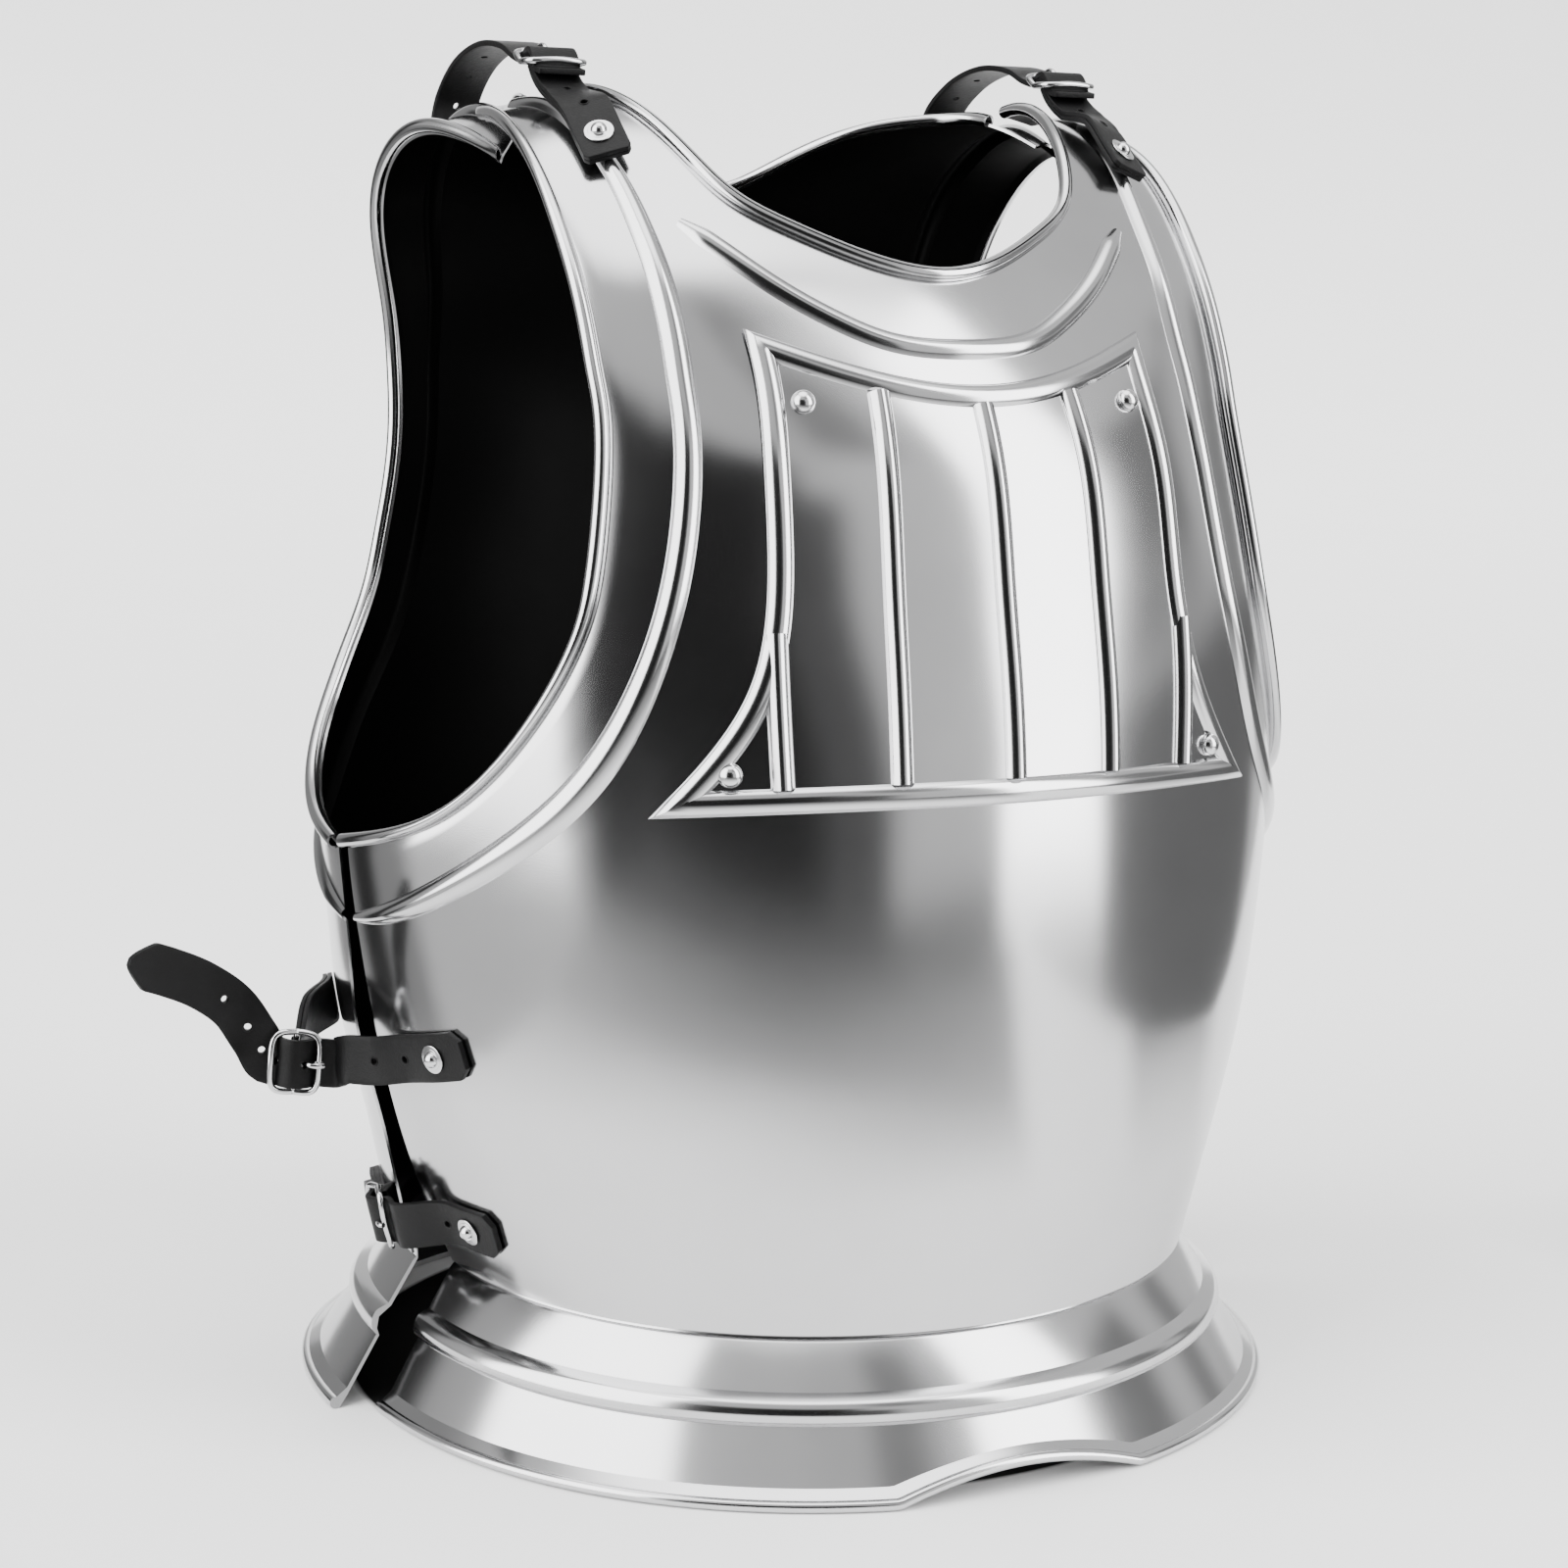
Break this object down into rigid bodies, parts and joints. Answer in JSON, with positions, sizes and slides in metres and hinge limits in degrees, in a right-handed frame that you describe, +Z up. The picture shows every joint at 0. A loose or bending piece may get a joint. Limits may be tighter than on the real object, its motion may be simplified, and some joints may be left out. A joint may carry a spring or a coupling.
{
  "type": "steel cuirass",
  "caption": "Steel cuirass: breastplate with a ribbed chest panel, backplate, flared waist skirts and buckled black leather straps at shoulders and sides.",
  "frame": {"origin": "on the floor under the centre of the whole part's bounding box", "axes": "+Z up; the chest faces -Y; the wearer's left arm is at +X"},
  "size_m": [0.5468, 0.4096, 0.5928],
  "materials": {
    "polished_steel": "polished steel plate outside, black paint inside",
    "rivet_steel": "bright domed rivets on washers",
    "buckle_wire": "bright drawn wire",
    "black_leather": "smooth black strap leather"
  },
  "bodies": {
    "root": {"breastplate": "polished_steel", "chest_panel": "polished_steel", "front_flange": "polished_steel", "backplate": "polished_steel", "rear_flange": "polished_steel", "panel_rivet_upper_left": "rivet_steel", "panel_rivet_upper_right": "rivet_steel", "panel_rivet_lower_left": "rivet_steel", "panel_rivet_lower_right": "rivet_steel", "shoulder_strap_left": "black_leather", "shoulder_chape_left": "black_leather", "shoulder_buckle_left": "buckle_wire", "shoulder_rivet_front_left": "rivet_steel", "shoulder_rivet_back_left": "rivet_steel", "shoulder_strap_right": "black_leather", "shoulder_chape_right": "black_leather", "shoulder_buckle_right": "buckle_wire", "shoulder_rivet_front_right": "rivet_steel", "shoulder_rivet_back_right": "rivet_steel", "side_strap_lower_left": "black_leather", "side_chape_lower_left": "black_leather", "side_buckle_lower_left": "buckle_wire", "side_rivet_lower_left": "rivet_steel", "side_strap_lower_right": "black_leather", "side_chape_lower_right": "black_leather", "side_buckle_lower_right": "buckle_wire", "side_rivet_lower_right": "rivet_steel", "side_strap_upper_left": "black_leather", "side_chape_upper_left": "black_leather", "side_buckle_upper_left": "buckle_wire", "side_rivet_upper_left": "rivet_steel", "side_strap_upper_right": "black_leather", "side_chape_upper_right": "black_leather", "side_buckle_upper_right": "buckle_wire", "side_rivet_upper_right": "rivet_steel"}
  },
  "joints": []
}
